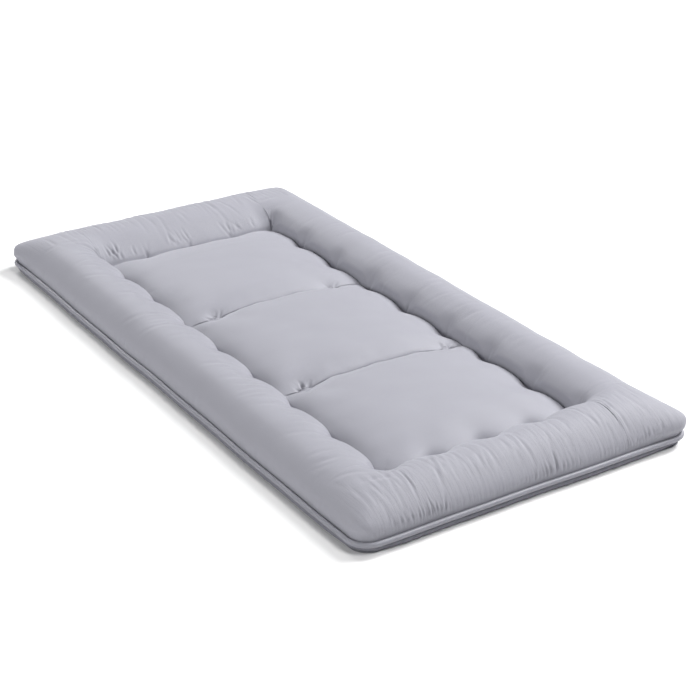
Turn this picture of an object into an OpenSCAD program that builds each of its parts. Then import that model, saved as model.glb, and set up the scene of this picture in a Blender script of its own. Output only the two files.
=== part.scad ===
// Floor futon mattress: a quilted centre of three cells inside a raised, stuffed border,
// closed by a side band with piping, and folding in three like a Z for storage.
// X runs across the bed, Y from the foot (-) to the head (+), Z up; z = 0 is the floor.

/* [Mattress] */
// Width across the piping
mattress_w = 1000; // [900:10:1200]
// Length across the piping
mattress_l = 2000; // [1900:10:2100]
// Height of the border's crown above the floor
crown_h = 118; // [95:1:130]
// Corner radius in plan, at the piping
corner_r = 60; // [50:5:90]

/* [Quilting] */
// Width of the raised border along each long side
side_border = 202; // [180:2:230]
// Width of the raised border at the foot
foot_border = 204; // [196:2:240]
// Width of the raised border at the head
head_border = 260; // [220:2:280]
// Length of the centre's cell at the foot
foot_cell = 490; // [476:2:500]
// Length of the centre's middle cell
middle_cell = 512; // [500:2:530]
// Height of the crown of the centre cells
cell_h = 88; // [75:1:100]
// Height of the tacked seam between the border and the cells
seam_h = 45; // [38:1:60]
// Width over which a centre cell rises from its seam to its crown
cell_flank = 120; // [80:5:160]
// Spaces between tacks along a long side of the centre
side_spaces = 8; // [4:2:12]
// Spaces between tacks along a short side of the centre
end_spaces = 4; // [2:1:6]

/* [Edge] */
// Thickness of the cover cloth
cloth = 1.2; // [0.8:0.1:2]
// Diameter of the piping over its sleeve
piping_d = 13; // [10:0.5:14]
// Diameter of the cord inside the piping
piping_cord_d = 10; // [6:0.5:11]
// Height of the piping's centre above the floor
piping_h = 25; // [24:1:34]
// How far the side band and the cover stand in from the piping's outside
edge_inset = 6; // [4:0.5:8]

/* [Filling] */
// Top of the lower wadding, which lies over the whole base
lower_wadding_top = 14; // [10:1:20]
// Top of the firm core under the centre cells
core_top = 36; // [28:1:40]

/* [Fold] */
// Space left on each side of a fold line by the cloth
cloth_gap = 0.5; // [0.4:0.1:1]
// Space left on each side of a fold line by the fillings
fill_gap = 12; // [8:1:20]

/* [Hidden] */
$fn = 48;

cover_colour = [0.74, 0.74, 0.77];
base_colour = [0.60, 0.60, 0.64];
piping_colour = [0.82, 0.82, 0.86];
wadding_colour = [0.95, 0.94, 0.91];
core_colour = [0.90, 0.86, 0.76];
thread_colour = [0.45, 0.45, 0.50];

fold_y = mattress_l / 6;              // fold lines at one third and two thirds of the length
centre_x = mattress_w / 2 - side_border;
centre_foot = foot_border - mattress_l / 2;
centre_head = mattress_l / 2 - head_border;
// Where each cell starts along the bed, and where the last one stops.
cell_lines = [centre_foot, centre_foot + foot_cell, centre_foot + foot_cell + middle_cell, centre_head];
clear = 0.4;                          // gap between a filling and its neighbours
thread_d = 2;
thread_bar = 8;
seam_flat = 4;                        // half width of the flat floor of a sewn valley
arc_steps = 8;
eps = 0.01;
far = 2 * mattress_l;

// ---- outlines -------------------------------------------------------------------------

// Points of a quarter ellipse rising from [start, low] to [stop, high].
function rise(start, stop, low, high) = [
    for (i = [0:arc_steps])
        let (a = 90 * i / arc_steps)
        [start + (stop - start) * (1 - cos(a)), low + (high - low) * sin(a)]
];

// The same curve falling from [start, high] to [stop, low].
function fall(start, stop, high, low) = [
    for (i = [0:arc_steps])
        let (a = 90 * i / arc_steps)
        [start + (stop - start) * sin(a), low + (high - low) * cos(a)]
];

function mirrored(points) = [for (i = [len(points) - 1:-1:0]) [-points[i][0], points[i][1]]];

// Points up a border's outer flank. half is half the overall size, border the border's width,
// inset how far inside the cloth.
function flank(half, border, inset) =
    rise(-half + edge_inset + inset, -half + border / 2, piping_h, crown_h - inset);

// Border outside: up one outer flank, then level with the crown across to the other side.
module envelope_outline(half, first_border, last_border, inset) {
    polygon(concat([[-half + edge_inset + inset, 0]], flank(half, first_border, inset),
                   mirrored(flank(half, last_border, inset)), [[half - edge_inset - inset, 0]]));
}

// One border: full height at the outside, falling from its crown into the sewn valley.
module border_outline(half, border, inset) {
    inner = fall(-half + border / 2, -half + border - seam_flat - inset,
                 crown_h - inset, seam_h - inset);
    polygon(concat([[-half, 0], [-half, crown_h]], inner, [[-half + border - seam_flat - inset, 0]]));
}

// One cell: rises from the valley on both sides to its crown.
module cell_outline(start, stop, inset) {
    up = rise(start + seam_flat + inset, start + cell_flank, seam_h - inset, cell_h - inset);
    down = fall(stop - cell_flank, stop - seam_flat - inset, cell_h - inset, seam_h - inset);
    polygon(concat([[start + seam_flat + inset, 0]], up, down, [[stop - seam_flat - inset, 0]]));
}

// An outline drawn in X and Z, run along Y; and one drawn in Y and Z, run along X.
module along_y() {
    rotate([90, 0, 0])
        linear_extrude(height = far, center = true)
            children();
}

module along_x() {
    rotate([90, 0, 90])
        linear_extrude(height = far, center = true)
            children();
}

// Plan of the mattress, drawn in by inset from the outside of the piping.
module plan(inset) {
    half_w = mattress_w / 2 - inset;
    half_l = mattress_l / 2 - inset;
    r = corner_r - inset;
    square([2 * half_w, 2 * (half_l - r)], center = true);
    square([2 * (half_w - r), 2 * half_l], center = true);
    for (sx = [-1, 1])
        for (sy = [-1, 1])
            translate([sx * (half_w - r), sy * (half_l - r)])
                circle(r = r);
}

// ---- the stuffed body -----------------------------------------------------------------

module envelope(inset) {
    intersection() {
        along_y() envelope_outline(mattress_w / 2, side_border, side_border, inset);
        along_x() envelope_outline(mattress_l / 2, foot_border, head_border, inset);
        linear_extrude(height = crown_h) plan(edge_inset + inset);
    }
}

// One border strip along the left side, and one along an end.
module side_strip(inset) {
    along_y() border_outline(mattress_w / 2, side_border, inset);
}

module end_strip(border, inset) {
    along_x() border_outline(mattress_l / 2, border, inset);
}

// Row of cells in the centre, numbered from the foot.
module cell(number, inset) {
    intersection() {
        along_y() cell_outline(-centre_x, centre_x, inset);
        along_x() cell_outline(cell_lines[number], cell_lines[number + 1], inset);
    }
}

// Everything under the top cover's outside, drawn in by inset.
module stuffed(inset) {
    intersection() {
        envelope(inset);
        union() {
            translate([-far / 2, -far / 2, 0]) cube([far, far, seam_h - inset]);
            side_strip(inset);
            mirror([1, 0, 0]) side_strip(inset);
            end_strip(foot_border, inset);
            mirror([0, 1, 0]) end_strip(head_border, inset);
            for (number = [0:len(cell_lines) - 2]) cell(number, inset);
        }
    }
}

// Keeps what lies in one section of the fold: -1 foot, 0 middle, 1 head.
module in_section(section, gap) {
    intersection() {
        children();
        translate([-far / 2, section_start(section) + gap, -crown_h])
            cube([far, section_stop(section) - section_start(section) - 2 * gap, 3 * crown_h]);
    }
}

function section_start(section) = section == -1 ? -mattress_l : (section == 0 ? -fold_y : fold_y);
function section_stop(section) = section == -1 ? -fold_y : (section == 0 ? fold_y : mattress_l);

// A slab from one height to another, inside the centre's seam or over the whole plan.
module centre_slab(low, high) {
    translate([-centre_x + thread_d, centre_foot + thread_d, low])
        cube([2 * (centre_x - thread_d), centre_head - centre_foot - 2 * thread_d, high - low]);
}

module plan_slab(inset, low, high) {
    translate([0, 0, low]) linear_extrude(height = high - low) plan(inset);
}

// ---- sub-parts ------------------------------------------------------------------------

module bottom_cover(section) {
    color(base_colour)
        in_section(section, cloth_gap)
            plan_slab(edge_inset, 0, cloth);
}

module lower_wadding(section) {
    color(wadding_colour)
        in_section(section, fill_gap)
            plan_slab(edge_inset + cloth + clear, cloth + clear, lower_wadding_top);
}

module core(section) {
    color(core_colour)
        in_section(section, fill_gap)
            centre_slab(lower_wadding_top + clear, core_top);
}

module upper_wadding(section) {
    color(wadding_colour)
        in_section(section, fill_gap)
            intersection() {
                stuffed(cloth + clear);
                centre_slab(core_top + clear, crown_h);
            }
}

// The room inside the piping, and above it out to the cover.
module past_piping() {
    plan_slab(piping_d + clear, 0, crown_h);
    plan_slab(edge_inset, piping_h + piping_d / 2 + clear, crown_h);
}

// Stuffing of the raised border along one long side, with its corner. side: -1 left, 1 right.
module border_side(section, side) {
    color(wadding_colour)
        in_section(section, fill_gap)
            intersection() {
                stuffed(cloth + clear);
                translate([side > 0 ? centre_x + thread_d : -mattress_w, -mattress_l,
                           lower_wadding_top + clear])
                    cube([mattress_w - centre_x - thread_d, 2 * mattress_l, crown_h]);
                past_piping();
            }
}

// Stuffing of the raised border across the foot or the head. end: -1 foot, 1 head.
module border_end(end) {
    start = end > 0 ? centre_head + thread_d : -mattress_l;
    stop = end > 0 ? mattress_l : centre_foot - thread_d;
    color(wadding_colour)
        intersection() {
            stuffed(cloth + clear);
            translate([-centre_x - thread_d + clear, start, lower_wadding_top + clear])
                cube([2 * (centre_x + thread_d - clear), stop - start, crown_h]);
            past_piping();
        }
}

module top_cover(section) {
    color(cover_colour)
        in_section(section, cloth_gap)
            difference() {
                stuffed(0);
                stuffed(cloth);
                translate([-far / 2, -far / 2, -eps])
                    cube([far, far, piping_h + piping_d / 2 + clear]);
            }
}

module side_band(section) {
    low = cloth + clear / 2;
    high = piping_h - piping_d / 2 - clear / 2;
    color(base_colour)
        in_section(section, cloth_gap)
            difference() {
                plan_slab(edge_inset, low, high);
                plan_slab(edge_inset + cloth, low - eps, high + eps);
            }
}

// One side of the middle section of what goes round the edge. side: -1 left, 1 right.
module one_side(side) {
    intersection() {
        children();
        translate([side > 0 ? 0 : -mattress_w, -mattress_l, -crown_h])
            cube([mattress_w, 2 * mattress_l, 3 * crown_h]);
    }
}

// A round bar that follows the edge of the plan, straight along the sides and round the corners.
module edge_bar(d) {
    half_w = mattress_w / 2 - piping_d / 2;
    half_l = mattress_l / 2 - piping_d / 2;
    r = corner_r - piping_d / 2;
    translate([0, 0, piping_h]) {
        for (sx = [-1, 1])
            translate([sx * half_w, 0, 0])
                rotate([90, 0, 0])
                    cylinder(h = 2 * (half_l - r), d = d, center = true);
        for (sy = [-1, 1])
            translate([0, sy * half_l, 0])
                rotate([0, 90, 0])
                    cylinder(h = 2 * (half_w - r), d = d, center = true);
        for (sx = [-1, 1])
            for (sy = [-1, 1])
                translate([sx * (half_w - r), sy * (half_l - r), 0])
                    mirror([sx > 0 ? 0 : 1, 0, 0])
                        mirror([0, sy > 0 ? 0 : 1, 0])
                            rotate_extrude(angle = 90)
                                translate([r, 0]) circle(d = d);
    }
}

module piping_sleeve(section) {
    color(piping_colour)
        in_section(section, cloth_gap)
            difference() {
                edge_bar(piping_d);
                edge_bar(piping_cord_d + clear / 2);
            }
}

module piping_cord(section) {
    color(wadding_colour)
        in_section(section, cloth_gap)
            edge_bar(piping_cord_d);
}

// A tack: a thread pulled down through the mattress, with a short bar on top of the seam.
// It turns with the seam that it lies on.
module tack(turn) {
    translate([0, 0, cloth / 2])
        cylinder(h = seam_h - cloth / 2, d = thread_d);
    translate([0, 0, seam_h])
        rotate([0, 0, turn])
            translate([-thread_bar / 2, -thread_d / 2, -cloth / 2])
                cube([thread_bar, thread_d, thread_d / 2 + cloth / 2]);
}

// Tacks round the centre, at each end and between the corners of each seam.
module tacks(section) {
    side_step = (centre_head - centre_foot) / side_spaces;
    end_step = 2 * centre_x / end_spaces;
    color(thread_colour) {
        for (i = [0:side_spaces])
            let (y = centre_foot + i * side_step)
            if (y > section_start(section) && y < section_stop(section))
                for (sx = [-1, 1])
                    translate([sx * centre_x, y, 0]) tack(90);
        if (section != 0)
            for (i = [1:end_spaces - 1])
                translate([-centre_x + i * end_step, section > 0 ? centre_head : centre_foot, 0])
                    tack(0);
    }
}

// The two threads that quilt the centre into cells, lying in their valleys.
module quilting_threads() {
    color(thread_colour)
        for (number = [1:len(cell_lines) - 2])
            translate([-centre_x + thread_bar, cell_lines[number] - thread_d / 2, seam_h - cloth / 2])
                cube([2 * (centre_x - thread_bar), thread_d, cloth / 2 + thread_d / 2]);
}

// ---- foot section ---------------------------------------------------------------------

module foot_bottom_cover() { bottom_cover(-1); }
module foot_lower_wadding() { lower_wadding(-1); }
module foot_core() { core(-1); }
module foot_upper_wadding() { upper_wadding(-1); }
module foot_border_left() { border_side(-1, -1); }
module foot_border_right() { border_side(-1, 1); }
module foot_border_end() { border_end(-1); }
module foot_top_cover() { top_cover(-1); }
module foot_side_band() { side_band(-1); }
module foot_piping_sleeve() { piping_sleeve(-1); }
module foot_piping_cord() { piping_cord(-1); }
module foot_tacks() { tacks(-1); }

// ---- middle section -------------------------------------------------------------------

module middle_bottom_cover() { bottom_cover(0); }
module middle_lower_wadding() { lower_wadding(0); }
module middle_core() { core(0); }
module middle_upper_wadding() { upper_wadding(0); }
module middle_border_left() { border_side(0, -1); }
module middle_border_right() { border_side(0, 1); }
module middle_top_cover() { top_cover(0); }
module middle_side_band_left() { one_side(-1) side_band(0); }
module middle_side_band_right() { one_side(1) side_band(0); }
module middle_piping_sleeve_left() { one_side(-1) piping_sleeve(0); }
module middle_piping_sleeve_right() { one_side(1) piping_sleeve(0); }
module middle_piping_cord_left() { one_side(-1) piping_cord(0); }
module middle_piping_cord_right() { one_side(1) piping_cord(0); }
module middle_tacks() { tacks(0); }
module middle_quilting_threads() { quilting_threads(); }

// ---- head section ---------------------------------------------------------------------

module head_bottom_cover() { bottom_cover(1); }
module head_lower_wadding() { lower_wadding(1); }
module head_core() { core(1); }
module head_upper_wadding() { upper_wadding(1); }
module head_border_left() { border_side(1, -1); }
module head_border_right() { border_side(1, 1); }
module head_border_end() { border_end(1); }
module head_top_cover() { top_cover(1); }
module head_side_band() { side_band(1); }
module head_piping_sleeve() { piping_sleeve(1); }
module head_piping_cord() { piping_cord(1); }
module head_tacks() { tacks(1); }

foot_bottom_cover();
foot_lower_wadding();
foot_core();
foot_upper_wadding();
foot_border_left();
foot_border_right();
foot_border_end();
foot_top_cover();
foot_side_band();
foot_piping_sleeve();
foot_piping_cord();
foot_tacks();
middle_bottom_cover();
middle_lower_wadding();
middle_core();
middle_upper_wadding();
middle_border_left();
middle_border_right();
middle_top_cover();
middle_side_band_left();
middle_side_band_right();
middle_piping_sleeve_left();
middle_piping_sleeve_right();
middle_piping_cord_left();
middle_piping_cord_right();
middle_tacks();
middle_quilting_threads();
head_bottom_cover();
head_lower_wadding();
head_core();
head_upper_wadding();
head_border_left();
head_border_right();
head_border_end();
head_top_cover();
head_side_band();
head_piping_sleeve();
head_piping_cord();
head_tacks();
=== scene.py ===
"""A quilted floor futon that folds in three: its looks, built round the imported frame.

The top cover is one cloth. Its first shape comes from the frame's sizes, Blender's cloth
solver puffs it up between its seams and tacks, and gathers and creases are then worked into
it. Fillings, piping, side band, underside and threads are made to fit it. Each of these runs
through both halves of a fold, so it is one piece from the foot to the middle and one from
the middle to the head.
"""

import math

import bmesh
import bpy
import numpy as np
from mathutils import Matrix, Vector


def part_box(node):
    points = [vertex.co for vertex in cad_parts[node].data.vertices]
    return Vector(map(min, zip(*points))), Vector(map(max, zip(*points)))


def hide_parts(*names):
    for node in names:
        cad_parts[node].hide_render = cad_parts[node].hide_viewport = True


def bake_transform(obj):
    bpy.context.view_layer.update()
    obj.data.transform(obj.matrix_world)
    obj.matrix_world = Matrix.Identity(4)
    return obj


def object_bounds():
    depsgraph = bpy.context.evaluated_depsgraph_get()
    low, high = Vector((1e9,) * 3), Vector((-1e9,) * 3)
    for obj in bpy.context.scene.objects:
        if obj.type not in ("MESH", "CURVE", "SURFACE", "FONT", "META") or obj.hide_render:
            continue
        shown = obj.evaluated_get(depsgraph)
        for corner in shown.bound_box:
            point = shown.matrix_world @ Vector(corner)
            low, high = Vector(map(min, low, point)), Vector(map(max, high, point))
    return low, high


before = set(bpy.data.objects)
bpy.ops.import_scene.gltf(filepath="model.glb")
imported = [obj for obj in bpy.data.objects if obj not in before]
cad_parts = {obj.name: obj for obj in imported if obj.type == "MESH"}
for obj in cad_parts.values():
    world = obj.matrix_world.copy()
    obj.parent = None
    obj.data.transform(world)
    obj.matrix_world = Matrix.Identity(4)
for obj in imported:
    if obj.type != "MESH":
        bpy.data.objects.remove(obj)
cad_low, cad_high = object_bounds()

# ---- sizes, from the frame ----

HALF_W, HALF_L, CROWN = cad_high
PIPING_LOW, PIPING_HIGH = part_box("foot_piping_sleeve")
PIPING_Z = (PIPING_LOW.z + PIPING_HIGH.z) / 2
PIPING_R = (PIPING_HIGH.z - PIPING_LOW.z) / 2
CORD_R = (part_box("foot_piping_cord")[1].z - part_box("foot_piping_cord")[0].z) / 2
CORNER_R = 0.060             # of the piping's outside, in plan
TACK_R = 0.001               # the tack's thread
TACK_BAR = 0.004             # half the length of the thread that shows at a tack
SEAM_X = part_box("foot_tacks")[1].x - TACK_R
SEAM_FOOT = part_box("foot_tacks")[0].y + TACK_BAR
SEAM_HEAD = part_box("head_tacks")[1].y - TACK_BAR
SEAM_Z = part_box("foot_tacks")[1].z - TACK_R
QUILT_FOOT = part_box("middle_quilting_threads")[0].y + TACK_R
QUILT_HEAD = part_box("middle_quilting_threads")[1].y - TACK_R
CELL_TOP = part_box("middle_upper_wadding")[1].z
FILL_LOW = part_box("middle_border_left")[0].z
CORE_LOW, CORE_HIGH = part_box("middle_core")
WADDING_LOW, WADDING_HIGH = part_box("middle_lower_wadding")

SIDE_SPACES, END_SPACES = 8, 4       # spaces between tacks along a long and a short seam
# The two quilted lines and, from left to right, where each is caught by a tack.
QUILT_LINES = ((QUILT_FOOT, (-0.215, -0.130, 0.0, 0.130, 0.235)),
               (QUILT_HEAD, (-0.200, -0.070, 0.065, 0.190)))
EDGE = 0.0125                # how far inside the piping's outside its seam lies

STEP_X, STEP_Y = 0.0031, 0.0044      # spacing of the finished cloth's grid
COARSE = 2                           # the simulated grid is this many times coarser


# ---- small numeric helpers ----

def direction_of(angle):
    return np.array([math.cos(angle), math.sin(angle)])


def smooth(t):
    t = np.clip(t, 0, 1)
    return t * t * (3 - 2 * t)


def rise(t, power=2.0):
    """From 0 at t = 0, with a steep start, to 1 at t = 1, level there."""
    return (1 - (1 - np.clip(t, 0, 1)) ** power) ** (1 / power)


def hump(t):
    """1 at t = 0, falling smoothly to nothing by about t = 2 either way."""
    return np.exp(-(t**2))


def spot(x, y, at_x, at_y, width):
    """The same in plan, round a place."""
    return np.exp(-(((x - at_x) ** 2 + (y - at_y) ** 2) / width**2))


def set_all(thing, **values):
    for key, value in values.items():
        setattr(thing, key, value)


def each_way(step, p):
    """Works step down the rows of a grid, then across its columns."""
    for axis in (0, 1):
        p = np.moveaxis(step(np.moveaxis(p, axis, 0)), 0, axis)
    return p


def rising(distance, flank):
    """How far the cloth has risen at a distance from where it is sewn down, from 0 to 1."""
    length, power = flank
    return rise(distance / length, power)


def normals_of(p):
    """Unit normals of a grid of points, shape (rows, columns, 3)."""
    n = np.cross(np.gradient(p, axis=1), np.gradient(p, axis=0))
    return n / np.maximum(np.linalg.norm(n, axis=2, keepdims=True), 1e-12)


def finer(p, times):
    """A grid of points with times as many spaces each way, by cubic interpolation."""
    def finer_rows(p):
        n = len(p)
        at = np.arange((n - 1) * times + 1) / times
        i = np.minimum(at.astype(int), n - 2)
        t = (at - i).reshape((-1,) + (1,) * (p.ndim - 1))
        a, b, c, d = p[np.maximum(i - 1, 0)], p[i], p[i + 1], p[np.minimum(i + 2, n - 1)]
        return b + 0.5 * t * (c - a + t * (2 * a - 5 * b + 4 * c - d + t * (3 * (b - c) + d - a)))
    return each_way(finer_rows, p)


def waves(seed, x, y, shortest, longest, count=22):
    """Smooth seeded noise over the plan, about -1 to 1."""
    rng = np.random.default_rng(seed)
    total = np.zeros(np.shape(x))
    for _ in range(count):
        angle, phase = rng.uniform(0, 2 * np.pi, 2)
        k = 2 * np.pi / rng.uniform(shortest, longest)
        total += np.sin(k * (x * np.cos(angle) + y * np.sin(angle)) + phase)
    return total / np.sqrt(count)


def rounded_distance(x, y, inset):
    """How far inside the rounded plan a point is, with the plan drawn in by inset."""
    r = CORNER_R - inset
    qx = np.abs(x) - (HALF_W - inset - r)
    qy = np.abs(y) - (HALF_L - inset - r)
    outside = np.hypot(np.maximum(qx, 0), np.maximum(qy, 0))
    return r - outside - np.minimum(np.maximum(qx, qy), 0)


def outward(x, y):
    """Unit direction in plan from the mattress's middle line to a point, shape (..., 2)."""
    away = np.stack([x - np.clip(x, -(HALF_W - CORNER_R), HALF_W - CORNER_R),
                     y - np.clip(y, -(HALF_L - CORNER_R), HALF_L - CORNER_R)], axis=-1)
    return away / np.maximum(np.linalg.norm(away, axis=-1, keepdims=True), 1e-6)


def settle(p):
    """What use does to the plan, alike for every piece: two corners are pulled out a little,
    and the edges wander by a millimetre or two."""
    x, y = p[..., 0], p[..., 1]
    q = p.copy()
    for sx, sy in ((-1, 1), (1, -1)):
        pull = 0.006 * spot(x, y, sx * HALF_W, sy * HALF_L, 0.08)
        q[..., 0] += sx * pull * 0.75
        q[..., 1] += sy * pull * 0.65
    side = smooth((np.abs(x) / HALF_W - 0.7) / 0.3) * np.sign(x)
    end = smooth((np.abs(y) / HALF_L - 0.85) / 0.15) * np.sign(y)
    q[..., 0] += side * (0.0013 * np.sin(7.1 * y + side) + 0.0007 * np.sin(19 * y + 2 * side))
    q[..., 1] += end * (0.0012 * np.sin(9.7 * x + end) + 0.0006 * np.sin(23 * x + 2 * end))
    return q


# ---- meshes ----

def make_object(name, points, faces, uv=None, normals=None):
    """A smooth mesh object from points and quads; uv holds one pair for each point."""
    mesh = bpy.data.meshes.new(name)
    mesh.vertices.add(len(points))
    mesh.vertices.foreach_set("co", np.ascontiguousarray(points, np.float32).ravel())
    mesh.loops.add(faces.size)
    mesh.loops.foreach_set("vertex_index", faces.ravel().astype(np.int32))
    mesh.polygons.add(len(faces))
    mesh.polygons.foreach_set("loop_start", np.arange(0, faces.size, 4, dtype=np.int32))
    mesh.polygons.foreach_set("use_smooth", np.ones(len(faces), dtype=bool))
    if uv is not None:
        layer = mesh.uv_layers.new(name="cloth")
        layer.data.foreach_set("uv", uv[faces.ravel()].astype(np.float32).ravel())
    mesh.update(calc_edges=True)
    mesh.validate()
    if normals is not None:
        mesh.normals_split_custom_set_from_vertices(normals)
    obj = bpy.data.objects.new(name, mesh)
    bpy.context.scene.collection.objects.link(obj)
    return obj


def grid_faces(rows, cols, flip=False, wrap=False):
    """Quads over a grid of points; wrap joins the last column to the first."""
    index = np.arange(rows * cols).reshape(rows, cols)
    if wrap:
        index = np.concatenate([index, index[:, :1]], axis=1)
    quads = np.stack([index[:-1, :-1], index[:-1, 1:], index[1:, 1:], index[1:, :-1]], axis=2)
    quads = quads.reshape(-1, 4)
    return quads[:, ::-1] if flip else quads


def grid_object(name, p, uv=None, normals=None, **way):
    """A sheet through a grid of points."""
    return make_object(name, p.reshape(-1, 3), grid_faces(*p.shape[:2], **way),
                       None if uv is None else uv.reshape(-1, 2),
                       None if normals is None else normals.reshape(-1, 3))


def shell(name, top, bottom):
    """A closed piece between two grids of points, with its sides rounded over a third ring."""
    rows, cols = top.shape[:2]
    n = rows * cols
    index = np.arange(n).reshape(rows, cols)
    rim = np.concatenate([index[0, :-1], index[:-1, -1], index[-1, :0:-1], index[:0:-1, 0]])
    flat_top, flat_low = top.reshape(-1, 3), bottom.reshape(-1, 3)
    middle = (flat_top[rim] + flat_low[rim]) / 2
    out = (middle - middle.mean(axis=0)) * (1, 1, 0)
    out /= np.maximum(np.linalg.norm(out, axis=1, keepdims=True), 1e-9)
    points = np.concatenate([flat_top, flat_low, middle + 0.0008 * out])
    ring = 2 * n + np.arange(len(rim))
    after, next_rim = np.roll(ring, -1), np.roll(rim, -1)
    upper = np.stack([rim, ring, after, next_rim], axis=1)
    lower = np.stack([ring, n + rim, n + next_rim, after], axis=1)
    faces = np.concatenate([grid_faces(rows, cols), grid_faces(rows, cols, flip=True) + n,
                            upper, lower])
    return make_object(name, points, faces, points[:, :2])


def tube(path, radius, sides=6):
    """Points and quads of a round tube along a path, narrowed almost to a point at its ends."""
    path = np.asarray(path, float)
    along = np.gradient(path, axis=0)
    along /= np.linalg.norm(along, axis=1, keepdims=True)
    across = np.cross(along, (0.31, 0.87, 0.38))
    across /= np.linalg.norm(across, axis=1, keepdims=True)
    other = np.cross(along, across)
    a = np.linspace(0, 2 * np.pi, sides, endpoint=False)
    r = np.full(len(path), radius)
    r[[0, -1]] *= 0.15
    ring = np.cos(a)[None, :, None] * across[:, None] + np.sin(a)[None, :, None] * other[:, None]
    points = path[:, None] + ring * r[:, None, None]
    return points.reshape(-1, 3), grid_faces(len(path), sides, wrap=True)


def joined(name, parts):
    """One object from several tubes."""
    points, faces, start = [], [], 0
    for p, f in parts:
        points.append(p)
        faces.append(f + start)
        start += len(p)
    points = np.concatenate(points)
    return make_object(name, points, np.concatenate(faces), points[:, :2])


def outside_out(obj):
    """Turns the faces of a closed piece outwards."""
    b = bmesh.new()
    b.from_mesh(obj.data)
    bmesh.ops.recalc_face_normals(b, faces=b.faces)
    b.to_mesh(obj.data)
    b.free()
    return obj


# ---- the top cover's first shape ----

def ring_tacks():
    """The tacks round the centre seam: along its sides, then along its ends."""
    sides = np.linspace(SEAM_FOOT, SEAM_HEAD, SIDE_SPACES + 1)
    ends = np.linspace(-SEAM_X, SEAM_X, END_SPACES + 1)[1:-1]
    return np.array([(sx * SEAM_X, y) for sx in (-1, 1) for y in sides]
                    + [(x, y) for y in (SEAM_FOOT, SEAM_HEAD) for x in ends])


RING_TACKS = ring_tacks()
END_QUILT_TACKS = [(x, y) for y, row in QUILT_LINES for x in (row[0], row[-1])]

# Heights of the cover where it is sewn down.
EDGE_Z = PIPING_Z + 0.004
TACK_Z = SEAM_Z - 0.011
QUILT_TACK_Z = SEAM_Z - 0.001
QUILT_LINE_Z = SEAM_Z + 0.013

# How it rises from there: over what distance, and how fully (the power given to rise).
OUTER = 0.125, 1.95            # the border, from the piping
INNER = 0.085, 2.0             # the border, from the seam
SLACK_INNER = 0.135, 1.55      # the same at the head
CELL_LEFT = 0.125, 2.3         # the cells, from the seam
CELL_RIGHT = 0.115, 2.15
CELL_FOOT = 0.125, 2.1
CELL_HEAD = 0.160, 1.35
QUILT_NEAR = 0.052, 1.5        # the cells, from a quilted line towards the foot
QUILT_BEYOND = 0.080, 1.9      # and towards the head
FULLER_RIGHT, FULLER_HEAD = 0.26, 0.20     # how much steeper the border is on these sides
LEFT_START = 0.009             # the cells stay low this far in from the seam on the left
DIMPLE_POWER = 1.1             # how pointed the dimples at the tacks are
TACK_LEAN, LINE_LEAN = 0.0095, 0.0065      # how far the cloth leans over a seam, and a line


def tack_distance(x, y):
    """How far a point of the plan is from the nearest tack on the centre seam."""
    return np.minimum.reduce([np.hypot(x - tx, y - ty) for tx, ty in RING_TACKS])


def at_head(y):
    """1 near the seam at the head, which is slack and almost straight, and 0 elsewhere."""
    return smooth((y - SEAM_HEAD + 0.16) / 0.10)


def seam_height(x, y):
    """Height of the sewn valley: low at the tacks, higher between them."""
    between = smooth(tack_distance(x, y) / 0.08)
    return TACK_Z + 0.008 * between + 0.007 * at_head(y) * (1 - 0.5 * between)


def past_seam(x, y):
    """How far a point lies outside the centre seam, across and along; negative inside it."""
    return np.abs(x) - SEAM_X, np.maximum(SEAM_FOOT - y, y - SEAM_HEAD)


def from_edges(x, y):
    """Distance from the nearest edge of the square-cornered plan, blended where two edges meet.
    The border is stuffed a little fuller on the right and at the head."""
    dx = np.maximum(HALF_W - EDGE - np.abs(x), 1e-7) * (1 + FULLER_RIGHT * smooth(x / 0.4 + 0.5))
    dy = np.maximum(HALF_L - EDGE - np.abs(y), 1e-7) * (1 + FULLER_HEAD * smooth(y / 0.4 + 0.5))
    return (dx**-3.0 + dy**-3.0) ** (-1 / 3)


def dimple(z, low, away, reach):
    """Draws the cover down to a tack, by the distance away from it."""
    return low + (z - low) * (1 - np.exp(-((away / reach) ** DIMPLE_POWER)))


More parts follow.
